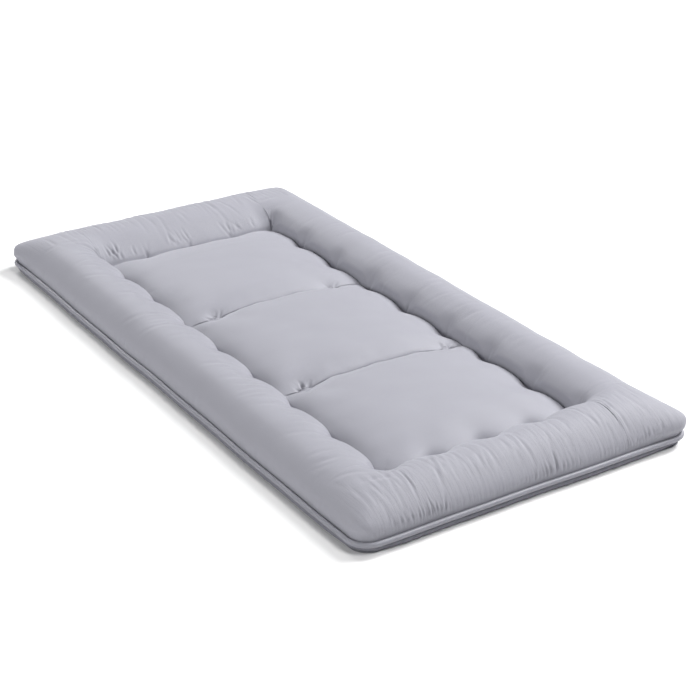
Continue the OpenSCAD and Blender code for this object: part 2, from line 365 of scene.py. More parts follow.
def cover_height(x, y, outer=None):
    """Height of the top cover over a point of the plan, before it is inflated."""
    outer = from_edges(x, y) if outer is None else outer
    dx, dy = past_seam(x, y)
    to_seam = np.hypot(np.maximum(dx, 0), np.maximum(dy, 0))
    q = outer / np.maximum(outer + to_seam, 1e-9)
    valley = seam_height(x, y)
    base = EDGE_Z + (valley - EDGE_Z) * smooth(q)
    slack = at_head(y) * smooth((0.04 - dx) / 0.08)
    inner = (1 - slack) * rising(to_seam, INNER) + slack * rising(to_seam, SLACK_INNER)
    border = base + (CROWN - 0.003 - base) * (rising(outer, OUTER) * inner)

    across = np.where(x < 0, rising(-dx - LEFT_START, CELL_LEFT), rising(-dx, CELL_RIGHT))
    along_seam = np.where(y > 0, rising(-dy, CELL_HEAD), rising(-dy, CELL_FOOT))
    at_quilt = 1.0
    for line, tacks in QUILT_LINES:
        bridged = sum(hump((x - tx) / 0.024) for tx in tacks[1:-1])
        sunk = (CELL_TOP - QUILT_LINE_Z - 0.006 * bridged) / (CELL_TOP - SEAM_Z)
        flank = np.where(y < line, rising(line - y, QUILT_NEAR), rising(y - line, QUILT_BEYOND))
        at_quilt = at_quilt * (1 - sunk * (1 - flank))
    dome = 1.14 - 0.56 * np.clip(x / SEAM_X, -1, 1) ** 2
    cell = valley + (CELL_TOP - valley) * across * along_seam * at_quilt * dome

    outside = (dx > 0) | (dy > 0)
    z = np.where(outside, border, cell)
    for tx, ty in RING_TACKS:
        z = dimple(z, TACK_Z, np.hypot(x - tx, y - ty), np.where(outside, *tack_reach(tx, ty)))
    for tx, ty in END_QUILT_TACKS:
        z = dimple(z, QUILT_TACK_Z, np.hypot(x - tx, y - ty), 0.024)
    return z


def tack_reach(tx, ty):
    """How wide a dimple a tack makes, in the border and in the cell. The ones at the foot and on
    the left are pulled harder."""
    if ty > SEAM_HEAD - 0.001:
        return 0.004, 0.010
    if tx > SEAM_X - 0.001:
        return 0.004, 0.021
    return (0.024, 0.005) if tx < -SEAM_X + 0.001 else (0.027, 0.016)


def pinch(p):
    """Between the tacks, the border and the cells both lean over the seam and nearly close it."""
    x, y, z = p[..., 0].copy(), p[..., 1].copy(), p[..., 2]
    dx, dy = past_seam(x, y)
    outside = (dx > 0) | (dy > 0)
    across, along = (dx > dy) & ~outside, (dx <= dy) & ~outside
    seam_x = np.where(across, np.sign(x) * SEAM_X, np.clip(x, -SEAM_X, SEAM_X))
    seam_y = np.where(along, np.where(y > 0, SEAM_HEAD, SEAM_FOOT),
                      np.clip(y, SEAM_FOOT, SEAM_HEAD))
    to = np.stack([seam_x - x, seam_y - y], axis=2)
    off = np.linalg.norm(to, axis=2)
    to /= np.maximum(off, 1e-6)[..., None]
    crest = np.where(outside, CROWN, CELL_TOP)
    h = np.clip((z - TACK_Z - 0.006) / (crest - TACK_Z - 0.006), 0, 1)
    lean = TACK_LEAN * np.sin(np.pi * h**0.8) * smooth(tack_distance(x, y) / 0.055)
    lean *= 1 - at_head(y) * (dx < 0)
    lean *= smooth((0.07 - off) / 0.04) * np.where(across & (x < 0), 0.15, 1.0)
    p[..., :2] += to * np.minimum(lean, off * 0.75)[..., None]

    # The cells lean a little over the quilted lines too, between the places where they are caught.
    for line, tacks in QUILT_LINES:
        beyond = np.maximum(y - line, 0)
        caught = sum(hump((x - tx) / 0.026) for tx in tacks)
        free = np.clip(1 - caught, 0, 1) * smooth((SEAM_X - 0.02 - np.abs(x)) / 0.04)
        p[..., 1] -= LINE_LEAN * free * (1 - np.exp(-beyond / 0.003)) * (1 - smooth(beyond / 0.045))
    return p


def run_along(x, z):
    """Distance along a line of points, from its first point to each of them."""
    return np.concatenate([[0], np.cumsum(np.hypot(np.diff(x), np.diff(z)))])


def lines_between(knots, height, step):
    """Grid lines from knot to knot, evenly spaced along the cloth's own length.

    Returns the lines and the index of each knot among them.
    """
    lines, index = [knots[0]], [0]
    for a, b in zip(knots[:-1], knots[1:]):
        t = (1 - np.cos(np.linspace(0, np.pi, 801))) / 2
        at = a + (b - a) * t
        run = run_along(at, height(at))
        n = max(2, int(round(run[-1] / step)))
        lines.extend(np.interp(np.linspace(0, run[-1], n + 1)[1:], run, at))
        index.append(len(lines) - 1)
    return np.array(lines), index


def round_corners(x, y, inset):
    """Bends the grid's square corners on to the rounded plan."""
    r = CORNER_R - inset
    u = (np.abs(x) - (HALF_W - inset - r)) / r
    v = (np.abs(y) - (HALF_L - inset - r)) / r
    cu, cv = np.clip(u, 0, 1), np.clip(v, 0, 1)
    corner = (u > 0) & (v > 0)
    nx = np.where(corner, cu * np.sqrt(1 - cv**2 / 2), u)
    ny = np.where(corner, cv * np.sqrt(1 - cu**2 / 2), v)
    return (np.sign(x) * (HALF_W - inset - r + nx * r), np.sign(y) * (HALF_L - inset - r + ny * r))


def bulge_outwards(p):
    """The outer flank leans out a little over the piping, and a good deal at two corners."""
    x, y = p[..., 0].copy(), p[..., 1].copy()
    d = rounded_distance(x, y, EDGE)
    full = sum(spot(x, y, sx * HALF_W, -sx * HALF_L, 0.085) for sx in (-1, 1))
    out = (0.0075 + 0.013 * full) * (1 - np.exp(-d / (0.0045 + 0.006 * full)))
    out *= 1 - smooth(d / (CORNER_R - EDGE))
    p[..., :2] += outward(x, y) * out[..., None]
    high = 0.015 * smooth((p[..., 2] - EDGE_Z - 0.001) / 0.020)
    for sx in (-1, 1):
        lean = high * spot(x, y, sx * HALF_W, -sx * HALF_L, 0.10)
        p[..., 0] += 0.75 * sx * lean
        p[..., 1] -= 0.65 * sx * lean
    return p


def cover_grid():
    """The first shape on the coarse grid, its lines, and the indices of its knots. The lines are
    spaced by the cloth's height along two cuts that miss the tacks."""
    half_w, half_l = HALF_W - EDGE, HALF_L - EDGE
    xs, kx = lines_between([-half_w, -SEAM_X, 0, SEAM_X, half_w],
                           lambda x: cover_height(x, np.full_like(x, 0.09)),
                           STEP_X * COARSE)
    ys, ky = lines_between([-half_l, SEAM_FOOT, QUILT_FOOT, 0, QUILT_HEAD, SEAM_HEAD, half_l],
                           lambda y: cover_height(np.full_like(y, 0.03), y), STEP_Y * COARSE)
    square_x, square_y = np.meshgrid(xs, ys)
    x, y = round_corners(square_x, square_y, EDGE)
    z = cover_height(x, y, from_edges(square_x, square_y))
    p = pinch(bulge_outwards(np.stack([x, y, z], axis=2)))
    return p, xs, ys, kx, ky


PUFF_FRAMES, PUFF_PRESSURE, PUFF_CAP = 12, 3.0, 0.007
PUFF_SMOOTHING = 14


def inflate(p, pinned):
    """Blender's cloth solver puffs the grid up. No point moves further than the cap, and the
    small buckles of the coarse grid are smoothed out of what it did."""
    obj = grid_object("cloth_work", p)
    group = obj.vertex_groups.new(name="pin")
    group.add(np.flatnonzero(pinned.ravel()).tolist(), 1.0, "REPLACE")
    cloth = obj.modifiers.new("Cloth", "CLOTH")
    set_all(cloth.settings, quality=6, mass=0.25, air_damping=2.0, tension_stiffness=30,
            compression_stiffness=8, shear_stiffness=6, bending_stiffness=0.35,
            tension_damping=10, compression_damping=10, shear_damping=10, bending_damping=1,
            use_pressure=True, uniform_pressure_force=PUFF_PRESSURE, vertex_group_mass="pin",
            pin_stiffness=40)
    cloth.settings.effector_weights.gravity = 0
    cloth.collision_settings.use_collision = False
    scene = bpy.context.scene
    set_all(cloth.point_cache, frame_start=1, frame_end=PUFF_FRAMES)
    for f in range(1, PUFF_FRAMES + 1):
        scene.frame_set(f)
    done = np.empty(p.size, np.float32)
    graph = bpy.context.evaluated_depsgraph_get()
    obj.evaluated_get(graph).data.vertices.foreach_get("co", done)
    scene.frame_set(1)
    bpy.data.objects.remove(obj)
    move = done.reshape(p.shape).astype(float) - p
    far = np.linalg.norm(move, axis=2, keepdims=True)
    move *= PUFF_CAP * np.tanh(far / PUFF_CAP) / np.maximum(far, 1e-9)

    def softer(m):
        m[1:-1] = (m[:-2] + 2 * m[1:-1] + m[2:]) / 4
        return m

    for _ in range(PUFF_SMOOTHING):
        move = each_way(softer, move)
        move[pinned] = 0
    return p + move


# ---- gathers and creases ----

class Creases:
    """Grooves with a soft lip beside them, in the cloth's own coordinates (metres from the
    left edge, metres from the foot edge)."""

    def __init__(self, shape, xs, ys):
        self.height = np.zeros(shape)
        self.xs, self.ys = xs, ys
        self.size = ((shape[1] - 1) * STEP_X, (shape[0] - 1) * STEP_Y)

    def cloth_at(self, x, y):
        """The cloth coordinates of a point of the plan."""
        return np.array([np.interp(x, self.xs, np.arange(len(self.xs))) * STEP_X,
                         np.interp(y, self.ys, np.arange(len(self.ys))) * STEP_Y])

    def from_edge(self, edge, along, inwards):
        """A place given along one edge of the cloth and in from it."""
        wide, long = self.size
        return {"foot": (along, inwards), "head": (along, long - inwards),
                "left": (inwards, along), "right": (wide - inwards, along)}[edge]

    def line(self, start, end, bow, width, depth, lip=0.35, fade=(0.3, 0.6)):
        """One groove from start to end, bowed sideways by bow. fade gives how much of its
        length it takes to deepen at the start and to run out at the end."""
        a, b = np.asarray(start, float), np.asarray(end, float)
        run = b - a
        length = max(np.hypot(*run), 1e-6)
        side = np.array([-run[1], run[0]]) / length
        reach = 4 * width + abs(bow)
        lo, hi = np.minimum(a, b) - reach, np.maximum(a, b) + reach
        step = np.array([STEP_X, STEP_Y])
        c0, r0 = np.maximum(0, (lo / step).astype(int))
        c1, r1 = np.minimum(self.height.shape[::-1], (hi / step).astype(int) + 2)
        if c0 >= c1 or r0 >= r1:
            return
        u = np.arange(c0, c1) * STEP_X - a[0]
        v = np.arange(r0, r1)[:, None] * STEP_Y - a[1]
        t = (u * run[0] + v * run[1]) / length**2
        held = np.clip(t, 0, 1)
        off = u * side[0] + v * side[1] - bow * 4 * held * (1 - held)
        beyond = (t - held) * length
        off = np.where(beyond == 0, off, np.sign(off) * np.hypot(off, beyond))
        strength = smooth((1 - held) / fade[1])
        if fade[0]:
            strength = strength * smooth(held / fade[0])
        ridge = lip * hump((np.abs(off) - 2.0 * width) / (1.2 * width))
        self.height[r0:r1, c0:c1] += depth * strength * (ridge - hump(off / width))


# Where the gathers bunch, and how wide each bunch is, as shares of the width.
BUNCHES = ((0.15, 0.04), (0.25, 0.04), (0.55, 0.05), (0.87, 0.05), (0.95, 0.02))
GATHER_DEPTH = 0.0042


def foot_and_head_gathers(c, rng):
    """The cloth is gathered on to the piping across the foot and the head, and long shallow
    creases run on from there."""
    wide = c.size[0]
    for edge in ("foot", "head"):
        u = 0.035
        while u < wide - 0.03:
            bunch = sum(math.exp(-(((u / wide - m) / w) ** 2)) for m, w in BUNCHES)
            strong = min(1.2, 0.28 + 1.0 * bunch) * rng.uniform(0.55, 1.1)
            run = rng.uniform(0.026, 0.048) + 0.035 * strong * rng.random()
            v = rng.uniform(-0.002, 0.004)
            slant = rng.normal(0.0, 0.14) * run
            c.line(c.from_edge(edge, u, v), c.from_edge(edge, u + slant, v + run),
                   rng.normal(0, 0.0025), rng.uniform(0.0026, 0.0034), GATHER_DEPTH * strong,
                   lip=0.45, fade=(0, 0.9))
            u += rng.uniform(0.0080, 0.0135)
        for _ in range(110):
            u = rng.uniform(0.09, wide - 0.09)
            v, run = rng.uniform(0.01, 0.13), rng.uniform(0.08, 0.19)
            slant = rng.normal(0.10, 0.10) * run
            c.line(c.from_edge(edge, u, v), c.from_edge(edge, u + slant, v + run),
                   rng.normal(0, 0.004), rng.uniform(0.0036, 0.0060),
                   rng.uniform(0.0004, 0.0011), lip=0.4, fade=(0.4, 0.5))


def side_gathers(c, rng):
    """Fewer and shallower gathers along the two long sides, and slack from the seam outwards."""
    long = c.size[1]
    for edge, lean, strength in (("left", -0.40, 1.0), ("right", 0.10, 0.5)):
        v = 0.05
        while v < long - 0.05:
            run = rng.uniform(0.02, 0.05)
            c.line(c.from_edge(edge, v, 0.0), c.from_edge(edge, v + rng.normal(0, 0.2) * run, run),
                   0, rng.uniform(0.006, 0.008), rng.uniform(0.0003, 0.0013),
                   lip=0.4, fade=(0, 0.9))
            v += rng.uniform(0.022, 0.046)
        for _ in range(80):
            v = rng.uniform(0.16, long - 0.16)
            u, run = rng.uniform(0.05, 0.20), rng.uniform(0.05, 0.15)
            slant = rng.normal(lean, 0.15) * run
            c.line(c.from_edge(edge, v, u), c.from_edge(edge, v + slant, u + run),
                   rng.normal(0, 0.004), rng.uniform(0.0055, 0.0085),
                   rng.uniform(0.0004, 0.0013) * strength, lip=0.4, fade=(0.4, 0.4))


# At each corner of the centre seam, by (right, head): the direction, number, spread, reach and
# strength of the creases that its tack pulls out of the border.
CORNER_FANS = {
    (False, True): [(2.45, 5, 0.42, 0.110, 1.1), (1.75, 3, 0.30, 0.050, 0.7)],
    (True, True): [(1.05, 6, 0.60, 0.055, 1.0)],
    (False, False): [(-1.45, 6, 0.55, 0.075, 0.9), (-2.6, 3, 0.40, 0.050, 0.6)],
    (True, False): [(0.05, 4, 0.32, 0.055, 1.6), (-1.35, 3, 0.25, 0.110, 0.6)],
}


def seam_pulls(c, rng):
    """Each tack pulls short creases out of the cloth round it, longer ones across the border."""
    for tx, ty in RING_TACKS:
        at = c.cloth_at(tx, ty)
        on_side = abs(abs(tx) - SEAM_X) < 0.001
        on_end = min(abs(ty - SEAM_FOOT), abs(ty - SEAM_HEAD)) < 0.001
        outwards = math.atan2(math.copysign(on_end, ty), math.copysign(on_side, tx))
        if on_side and on_end:
            fans = CORNER_FANS[tx > 0, ty > 0]
        else:
            fans = [(outwards, 3, 0.55, 0.045, 0.35 if ty > SEAM_HEAD - 0.001 or tx > 0 else 0.9)]
        if ty < SEAM_FOOT + 0.001:
            fans = fans + [(outwards + math.pi, 4, 0.8, 0.030, 1.2)]
        for direction, count, spread, reach, strength in fans:
            for k in range(count):
                a = direction + spread * (2 * (k + rng.uniform(0.2, 0.8)) / count - 1)
                first = rng.uniform(0.004, 0.012)
                run = first + reach * rng.uniform(0.6, 1.5)
                way = direction_of(a)
                c.line(at + way * first, at + way * run, rng.normal(0.03 * run, 0.004),
                       rng.uniform(0.0036, 0.0056), rng.uniform(0.0012, 0.0024) * strength,
                       lip=0.45, fade=(0.12, 0.85))


def inner_seam_gathers(c, rng):
    """Gathers that stand on the centre seam at the head and at the foot, on the border's side."""
    for end, bunches in ((1, ((-0.25, 0.05, 1.0), (-0.02, 0.06, 0.75), (0.18, 0.05, 0.45))),
                         (-1, ((-0.14, 0.08, 0.5), (0.12, 0.09, 0.55)))):
        for middle, wide, strength in bunches:
            for _ in range(11):
                x = middle + rng.normal(0, 0.5) * wide
                if abs(x) > SEAM_X - 0.01:
                    continue
                at = c.cloth_at(x, SEAM_HEAD if end > 0 else SEAM_FOOT)
                first, run = rng.uniform(0.008, 0.025), rng.uniform(0.045, 0.105)
                slant = rng.normal(-0.1, 0.16) * run
                c.line(at + (0, end * first), at + (slant, end * run), rng.normal(0, 0.003),
                       rng.uniform(0.0033, 0.0045), 0.0022 * strength * rng.uniform(0.5, 1.1),
                       lip=0.5, fade=(0.25, 0.7))


def quilt_creases(c, rng):
    """A crescent between each pair of tacks on the quilted lines, and pleats at the tacks."""
    for y, row in QUILT_LINES:
        stops = [-SEAM_X + 0.012, *row, SEAM_X - 0.012]
        for a, b in zip(stops[:-1], stops[1:]):
            start, end = c.cloth_at(a, y), c.cloth_at(b, y)
            gap = 0.016 if b - a > 0.07 else 0.004
            c.line(start + (gap, 0), end - (gap, 0), -0.003, 0.0046, 0.0060,
                   lip=0.35, fade=(0.25, 0.50))
            c.line(start + (gap, 0.001), end - (gap, -0.001), -0.005, 0.013, 0.0030,
                   lip=0.0, fade=(0.4, 0.5))
        for x in (row[0], row[-1]):
            at = c.cloth_at(x, y)
            for k in range(7):
                a = math.pi * (0.06 + 0.88 * (k + rng.uniform(0.2, 0.8)) / 7)
                way = direction_of(a)
                run = rng.uniform(0.028, 0.055)
                c.line(at + way * 0.002, at + way * run, rng.normal(0, 0.003), 0.0040,
                       0.0046, lip=0.5, fade=(0, 0.9))


CREASE_DEPTH = 0.0080          # the deepest that creases can be where they meet


def make_cover():
    """The finished cloth as a fine grid, and the indices of its knots."""
    p, xs, ys, kx, ky = cover_grid()
    rows, cols = p.shape[:2]
    pinned = np.zeros((rows, cols), bool)
    pinned[[0, -1], :] = pinned[:, [0, -1]] = True
    for k in (kx[1], kx[3]):
        pinned[ky[1]: ky[5] + 1, k] = True
    for k in (ky[1], ky[2], ky[4], ky[5]):
        pinned[k, kx[1]: kx[3] + 1] = True
    p = inflate(p, pinned)
    p = finer(p, COARSE)
    xs, ys = (np.interp(np.arange(len(a) * COARSE - COARSE + 1) / COARSE, np.arange(len(a)), a)
              for a in (xs, ys))

    rng = np.random.default_rng(11)
    c = Creases(p.shape[:2], xs, ys)
    for crease in (foot_and_head_gathers, side_gathers, seam_pulls, inner_seam_gathers,
                   quilt_creases):
        crease(c, rng)
    gx, gy = p[..., 0], p[..., 1]
    from_piping = rounded_distance(gx, gy, EDGE)
    lumps = 0.0007 * waves(3, gx, gy, 0.08, 0.22) * smooth(from_piping / 0.05)
    creases = np.where(c.height < 0, -CREASE_DEPTH * np.tanh(-c.height / CREASE_DEPTH), c.height)
    p = p + normals_of(p) * ((creases * smooth(from_piping / 0.004) + lumps)[..., None])
    return p, [k * COARSE for k in kx], [k * COARSE for k in ky]


# ---- the edge: piping, side band and what lies under them ----

def edge_line(end, step):
    """Points of the plan's outline and their outward directions, over one half of the mattress:
    from y = 0 on the left, round the foot (end -1) or the head (1), to y = 0 on the right."""
    r = CORNER_R
    w, l, turn = HALF_W - r, HALF_L - r, CORNER_R * math.pi / 2
    total = 2 * l + 2 * w + 2 * turn
    s = np.linspace(0, total, int(round(total / step)) + 1)
    a1 = np.clip((s - l) / r, 0, math.pi / 2)
    a2 = np.clip((s - l - turn - 2 * w) / r, 0, math.pi / 2)
    x = -w + np.clip(s - l - turn, 0, 2 * w)
    y = np.minimum(s, l) - np.clip(s - (total - l), 0, l)
    side = np.where(s < l + turn + w, -1.0, 1.0)
    nx = np.where(side < 0, -np.cos(a1), np.sin(a2))
    ny = np.where(side < 0, np.sin(a1), np.cos(a2))
    points = np.stack([x + nx * r, end * (y + ny * r)], axis=1)
    return s, total, points, np.stack([nx, end * ny], axis=1)


def swept(name, end, step, profile, wrap=False):
    """A strip swept along the edge. profile(s, total) gives its distance in from the outline
    and its height, each shape (points along, points across)."""
    s, total, base, normal = edge_line(end, step)
    inset, height = profile(s[:, None], total)
    inset, height = np.broadcast_arrays(inset, height)
    plan = base[:, None] - normal[:, None] * inset[..., None]
    p = settle(np.concatenate([plan, height[..., None]], axis=2))
    uv = np.stack(np.broadcast_arrays(s[:, None], run_along(inset[0], height[0])), axis=2)
    return grid_object(name, p, uv, flip=end > 0, wrap=wrap)


def away_from_ends(s, total):
    """0 at both ends of a strip, where the next one joins it, and 1 from 50 mm in."""
    return smooth(s / 0.05) * smooth((total - s) / 0.05)


def piping_profile(s, total):
    """A round cord in a sleeve that narrows inwards to its seam, with a few skewed puckers."""
    a = np.linspace(0, 2 * np.pi, 22, endpoint=False)[None, :]
    pucker = np.sin(2 * np.pi * s / 0.019 + 1.4 * np.sin(2 * np.pi * s / 0.23) + 1.5 * a)
    uneven = 0.5 + 0.5 * np.sin(2 * np.pi * s / 0.31 + 1.0)
    r = PIPING_R * (1 - 0.03 * away_from_ends(s, total) * uneven * (0.5 + 0.5 * pucker))
    tail = 0.75 * PIPING_R * hump((a - np.pi) / 0.42)
    inset = PIPING_R - (r + tail) * np.cos(a)
    return inset, PIPING_Z + r * np.sin(a) + 0 * inset


# The side band's section, from under the piping to where it turns under on the floor: how far
# in from the piping's outside, and how high.
BAND_INSET = np.array([14.5, 11.4, 8.8, 7.2, 6.4, 6.0, 6.2, 7.0, 9.2, 14.0]) / 1000
BAND_HEIGHT = np.array([20.5, 18.1, 16.7, 14.5, 11.7, 8.8, 6.0, 3.6, 1.8, 0.8]) / 1000
BAND_JOINT = 0.430             # where the band's ends are sewn together, along each half
LAP = 0.0009                   # how far one of its ends lies over the other


def band_profile(s, total):
    """The side band, with a few puckers. It is tucked under at the corners at both ends."""
    free = np.sin(np.linspace(0, np.pi, len(BAND_INSET)))[None, :]
    pucker = np.sin(2 * np.pi * s / 0.034 + 2.1 * np.sin(2 * np.pi * s / 0.41))
    pucker = pucker * (0.5 + 0.5 * np.sin(2 * np.pi * s / 0.57 + 2))
    pucker = pucker + 0.5 * np.sin(2 * np.pi * s / 0.091)
    out = 0.0009 * away_from_ends(s, total) * pucker * free
    past = s - BAND_JOINT
    joint = 0.0016 * hump(past / 0.0022) * free
    lap = LAP * smooth(past / 0.002) * smooth((BAND_JOINT + 0.03 - s) / 0.02) * free
    corner = HALF_L - CORNER_R * (1 - math.pi / 4)
    tucked = 0.010 * hump((s - corner) / 0.07) + 0.013 * hump((total - corner - s) / 0.09)
    tucked = tucked * smooth((0.018 - BAND_HEIGHT[None, :]) / 0.016)
    return BAND_INSET[None, :] - out + joint - lap + tucked, BAND_HEIGHT[None, :] + 0 * out


def cord_profile(s, total):
    """The cord inside the piping, laid up from three strands."""
    a = np.linspace(0, 2 * np.pi, 16, endpoint=False)[None, :]
    r = CORD_R * (0.93 + 0.06 * np.abs(np.sin(1.5 * (a + 2 * np.pi * s / 0.030))))
    return PIPING_R - r * np.cos(a), PIPING_Z + r * np.sin(a)


def plan_grid(end, inset, nx, ny):
    """Plan points of one half of the mattress, drawn in by inset, and shaped to its corners.
    They are closer together towards the edges."""
    xs = np.sin(np.linspace(-np.pi / 2, np.pi / 2, nx) * 0.9)
    ys = np.sin(np.linspace(0, np.pi / 2, ny) * 0.9)
    full = math.sin(0.45 * np.pi)
    return round_corners(*np.meshgrid((HALF_W - inset) * xs / full,
                                      end * (HALF_L - inset) * ys / full), inset)


def underside(name, end):
    """The bottom cover: flat on the floor, and drawn up a little at each tack."""
    x, y = plan_grid(end, 0.0135, 150, 150)
    z = 0.0006 + 0.0003 * (1 + waves(5, x, y, 0.05, 0.16))
    for tx, ty in RING_TACKS:
        z += 0.0045 * spot(x, y, tx, ty, 0.016)
    return grid_object(name, settle(np.stack([x, y, z], axis=2)), np.stack([x, y], axis=2),
                       flip=end > 0)


FILLING_INSET = 0.018          # how far inside the piping's outside the border's filling stops


def lowest_near(z, reach):
    """The lowest value within reach grid lines each way."""
    def lowest(z):
        padded = np.concatenate([z[:1]] * reach + [z] + [z[-1:]] * reach)
        return np.min([padded[k: k + len(z)] for k in range(2 * reach + 1)], axis=0)
    return each_way(lowest, z)


def flat_pad(name, end, low, high, half_w, half_l, seed, edge):
    """A flat sheet of filling with soft, uneven edges, over half of a rectangle, or of the whole
    plan if it is wider than the centre."""
    if half_w > SEAM_X:
        x, y = plan_grid(end, HALF_W - half_w, 70, 70)
        y = np.where(np.abs(y) < 1e-9, end * 0.0001, y)
        to_edge = rounded_distance(x, y, HALF_W - half_w)
    else:
        x, y = np.meshgrid(np.linspace(-half_w, half_w, 70), end * np.linspace(0.0001, half_l, 70))
        to_edge = np.minimum(half_w - np.abs(x), half_l - np.abs(y))
    round_off = (high - low) * 0.40 * (1 - rise(np.clip(to_edge / edge, 0, 1)))
    noise = 0.0006 * (1 + waves(seed, x, y, 0.03, 0.11)) * smooth(to_edge / 0.02)
    top = np.stack([x, y, high - round_off - noise], axis=2)
    low_side = np.stack([x, y, low + round_off + 0.2 * noise], axis=2)
    return outside_out(shell(name, settle(top), settle(low_side)))


def fitted_pad(name, rows, cols, low):
    """Filling that fills the cover from underneath, between grid lines, down to low."""
    ri, ci = (np.unique(np.append(np.arange(a, b, 4), b)) for a, b in (rows, cols))
    top = (cover - cover_normals * 0.0042)[np.ix_(ri, ci)]
    top[..., 2] = np.minimum(top[..., 2], LOWEST[np.ix_(ri, ci)] - 0.003)
    d = rounded_distance(top[..., 0], top[..., 1], 0)
    top[..., :2] -= outward(top[..., 0], top[..., 1]) * np.maximum(FILLING_INSET - d, 0)[..., None]
    top[..., 2] = np.maximum(top[..., 2], low + 0.002)
    bottom = top.copy()
    bottom[..., 2] = low
    return outside_out(shell(name, settle(top), settle(bottom)))


# ---- threads ----

def stitch(x, y, z, along, size):
    """One tack's thread: a short bar of two strands on the cloth, and its run down to the base."""
    c, s = math.cos(along), math.sin(along)
    parts = []
    t = np.linspace(-1, 1, 9)
    reach, up = size * t, 0.0011 * (1 - t**4) - 0.0015 * t**8
    for offset in (-0.0006, 0.0006):
        path = np.stack([x + c * reach - s * offset, y + s * reach + c * offset, z + up], axis=1)
        parts.append(tube(path, 0.0006))
    t = np.linspace(0, 1, 8)
    column = np.stack([x + 0.0004 * np.sin(9 * t), y + 0.0004 * np.cos(9 * t),
                       z - 0.001 - t * (z - 0.004)], axis=1)
    parts.append(tube(column, TACK_R * 0.9))
    return parts


def height_at(p, x, y):
    """Height of the cover at its grid point nearest to a place in plan."""
    k = np.argmin((p[..., 0] - x) ** 2 + (p[..., 1] - y) ** 2)
    return float(p.reshape(-1, 3)[k, 2])


def tack_threads(name, p, end):
    parts = []
    for tx, ty in RING_TACKS:
        if ty * end < -1e-6 or (abs(ty) < 1e-6 and end < 0):
            continue
        along = 0.0 if abs(tx) < SEAM_X - 0.01 else math.pi / 2
        parts += stitch(tx, ty, height_at(p, tx, ty), along, TACK_BAR)
    return joined(name, parts)


def quilt_threads(name, p, end):
    """Running stitches along one quilted line, and a stitch across it at each of its tacks."""
    parts = []
    y, row = QUILT_LINES[0 if end < 0 else 1]
    for x in np.arange(-SEAM_X + 0.014, SEAM_X - 0.014, 0.0085):
        t = np.linspace(-1, 1, 6)
        px = x + 0.0029 * t
        line = p[np.argmin(np.abs(p[:, p.shape[1] // 2, 1] - y))]
        pz = np.interp(px, line[:, 0], line[:, 2]) + 0.0004 - 0.0010 * t**4
        parts.append(tube(np.stack([px, np.full(6, y), pz], axis=1), 0.00045, 5))
    for x in row:
        parts += stitch(x, y, height_at(p, x, y), math.pi / 2, 0.003)
    return joined(name, parts)


# ---- materials ----

class Look:
    """A material with one principled shader, and short ways to add nodes to it. A value given to
    an input is either a constant or another node's output."""

    def __init__(self, name):
        self.material = bpy.data.materials.new(name)
        self.material.use_nodes = True
        self.tree = self.material.node_tree
        self.tree.nodes.clear()
        out = self.tree.nodes.new("ShaderNodeOutputMaterial")
        self.shader = self.tree.nodes.new("ShaderNodeBsdfPrincipled")
        self.tree.links.new(self.shader.outputs[0], out.inputs[0])

    def fill(self, node, values):
        for key, value in values.items():
            if isinstance(value, bpy.types.NodeSocket):
                self.tree.links.new(value, node.inputs[key])
            else:
                node.inputs[key].default_value = value

    def set(self, **values):
        """Sets the shader's inputs, by their names with an underscore for each space."""
        self.fill(self.shader, {key.replace("_", " "): v for key, v in values.items()})

    def node(self, kind, values, **settings):
        node = self.tree.nodes.new("ShaderNode" + kind)
        set_all(node, **settings)
        self.fill(node, values)
        return node

    def position(self):
        return self.node("TexCoord", {}).outputs["Object"]

    def math(self, operation, *values):
        return self.node("Math", dict(enumerate(values)), operation=operation).outputs[0]

    def noise(self, vector, scale, detail, rough):
        return self.node("TexNoise", {"Vector": vector, "Scale": scale, "Detail": detail,
                                      "Roughness": rough}).outputs["Fac"]

    def soft_step(self, value, low, high, at_low, at_high):
        return self.node("MapRange", {"Value": value, "From Min": low, "From Max": high,
                                      "To Min": at_low, "To Max": at_high},
                         interpolation_type="SMOOTHSTEP").outputs["Result"]

    def bump(self, height, distance, strength, under=None):
        under = {} if under is None else {"Normal": under}
        return self.node("Bump", {"Height": height, "Distance": distance, "Strength": strength,
                                  **under}).outputs[0]

    def colour(self, tone, colour, low, high, span=(0.0, 1.0)):
        """Colours the shader, from low times the colour to high times it as tone rises."""
        ramp = self.node("ValToRGB", {0: tone})
        for element, place, share in zip(ramp.color_ramp.elements, span, (low, high)):
            element.position = place
            element.color = (*(v * share for v in colour), 1)
        self.set(Base_Color=ramp.outputs[0])


def fine_gathers(look, u, v, long, under):
    """Fine lines across the borders at both ends of a cloth of this length, too small to model."""
    stretched = look.node("CombineXYZ", {0: look.math("MULTIPLY", u, 125.0),
                                         1: look.math("MULTIPLY", v, 8.0)}).outputs[0]
    from_end = look.math("MINIMUM", v, look.math("SUBTRACT", long, v))
    height = look.math("MULTIPLY", look.noise(stretched, 1.0, 2.0, 0.5),
                       look.soft_step(from_end, 0.12, 0.24, 1.0, 0.0))
    return look.bump(height, 0.0024, 0.6, under)


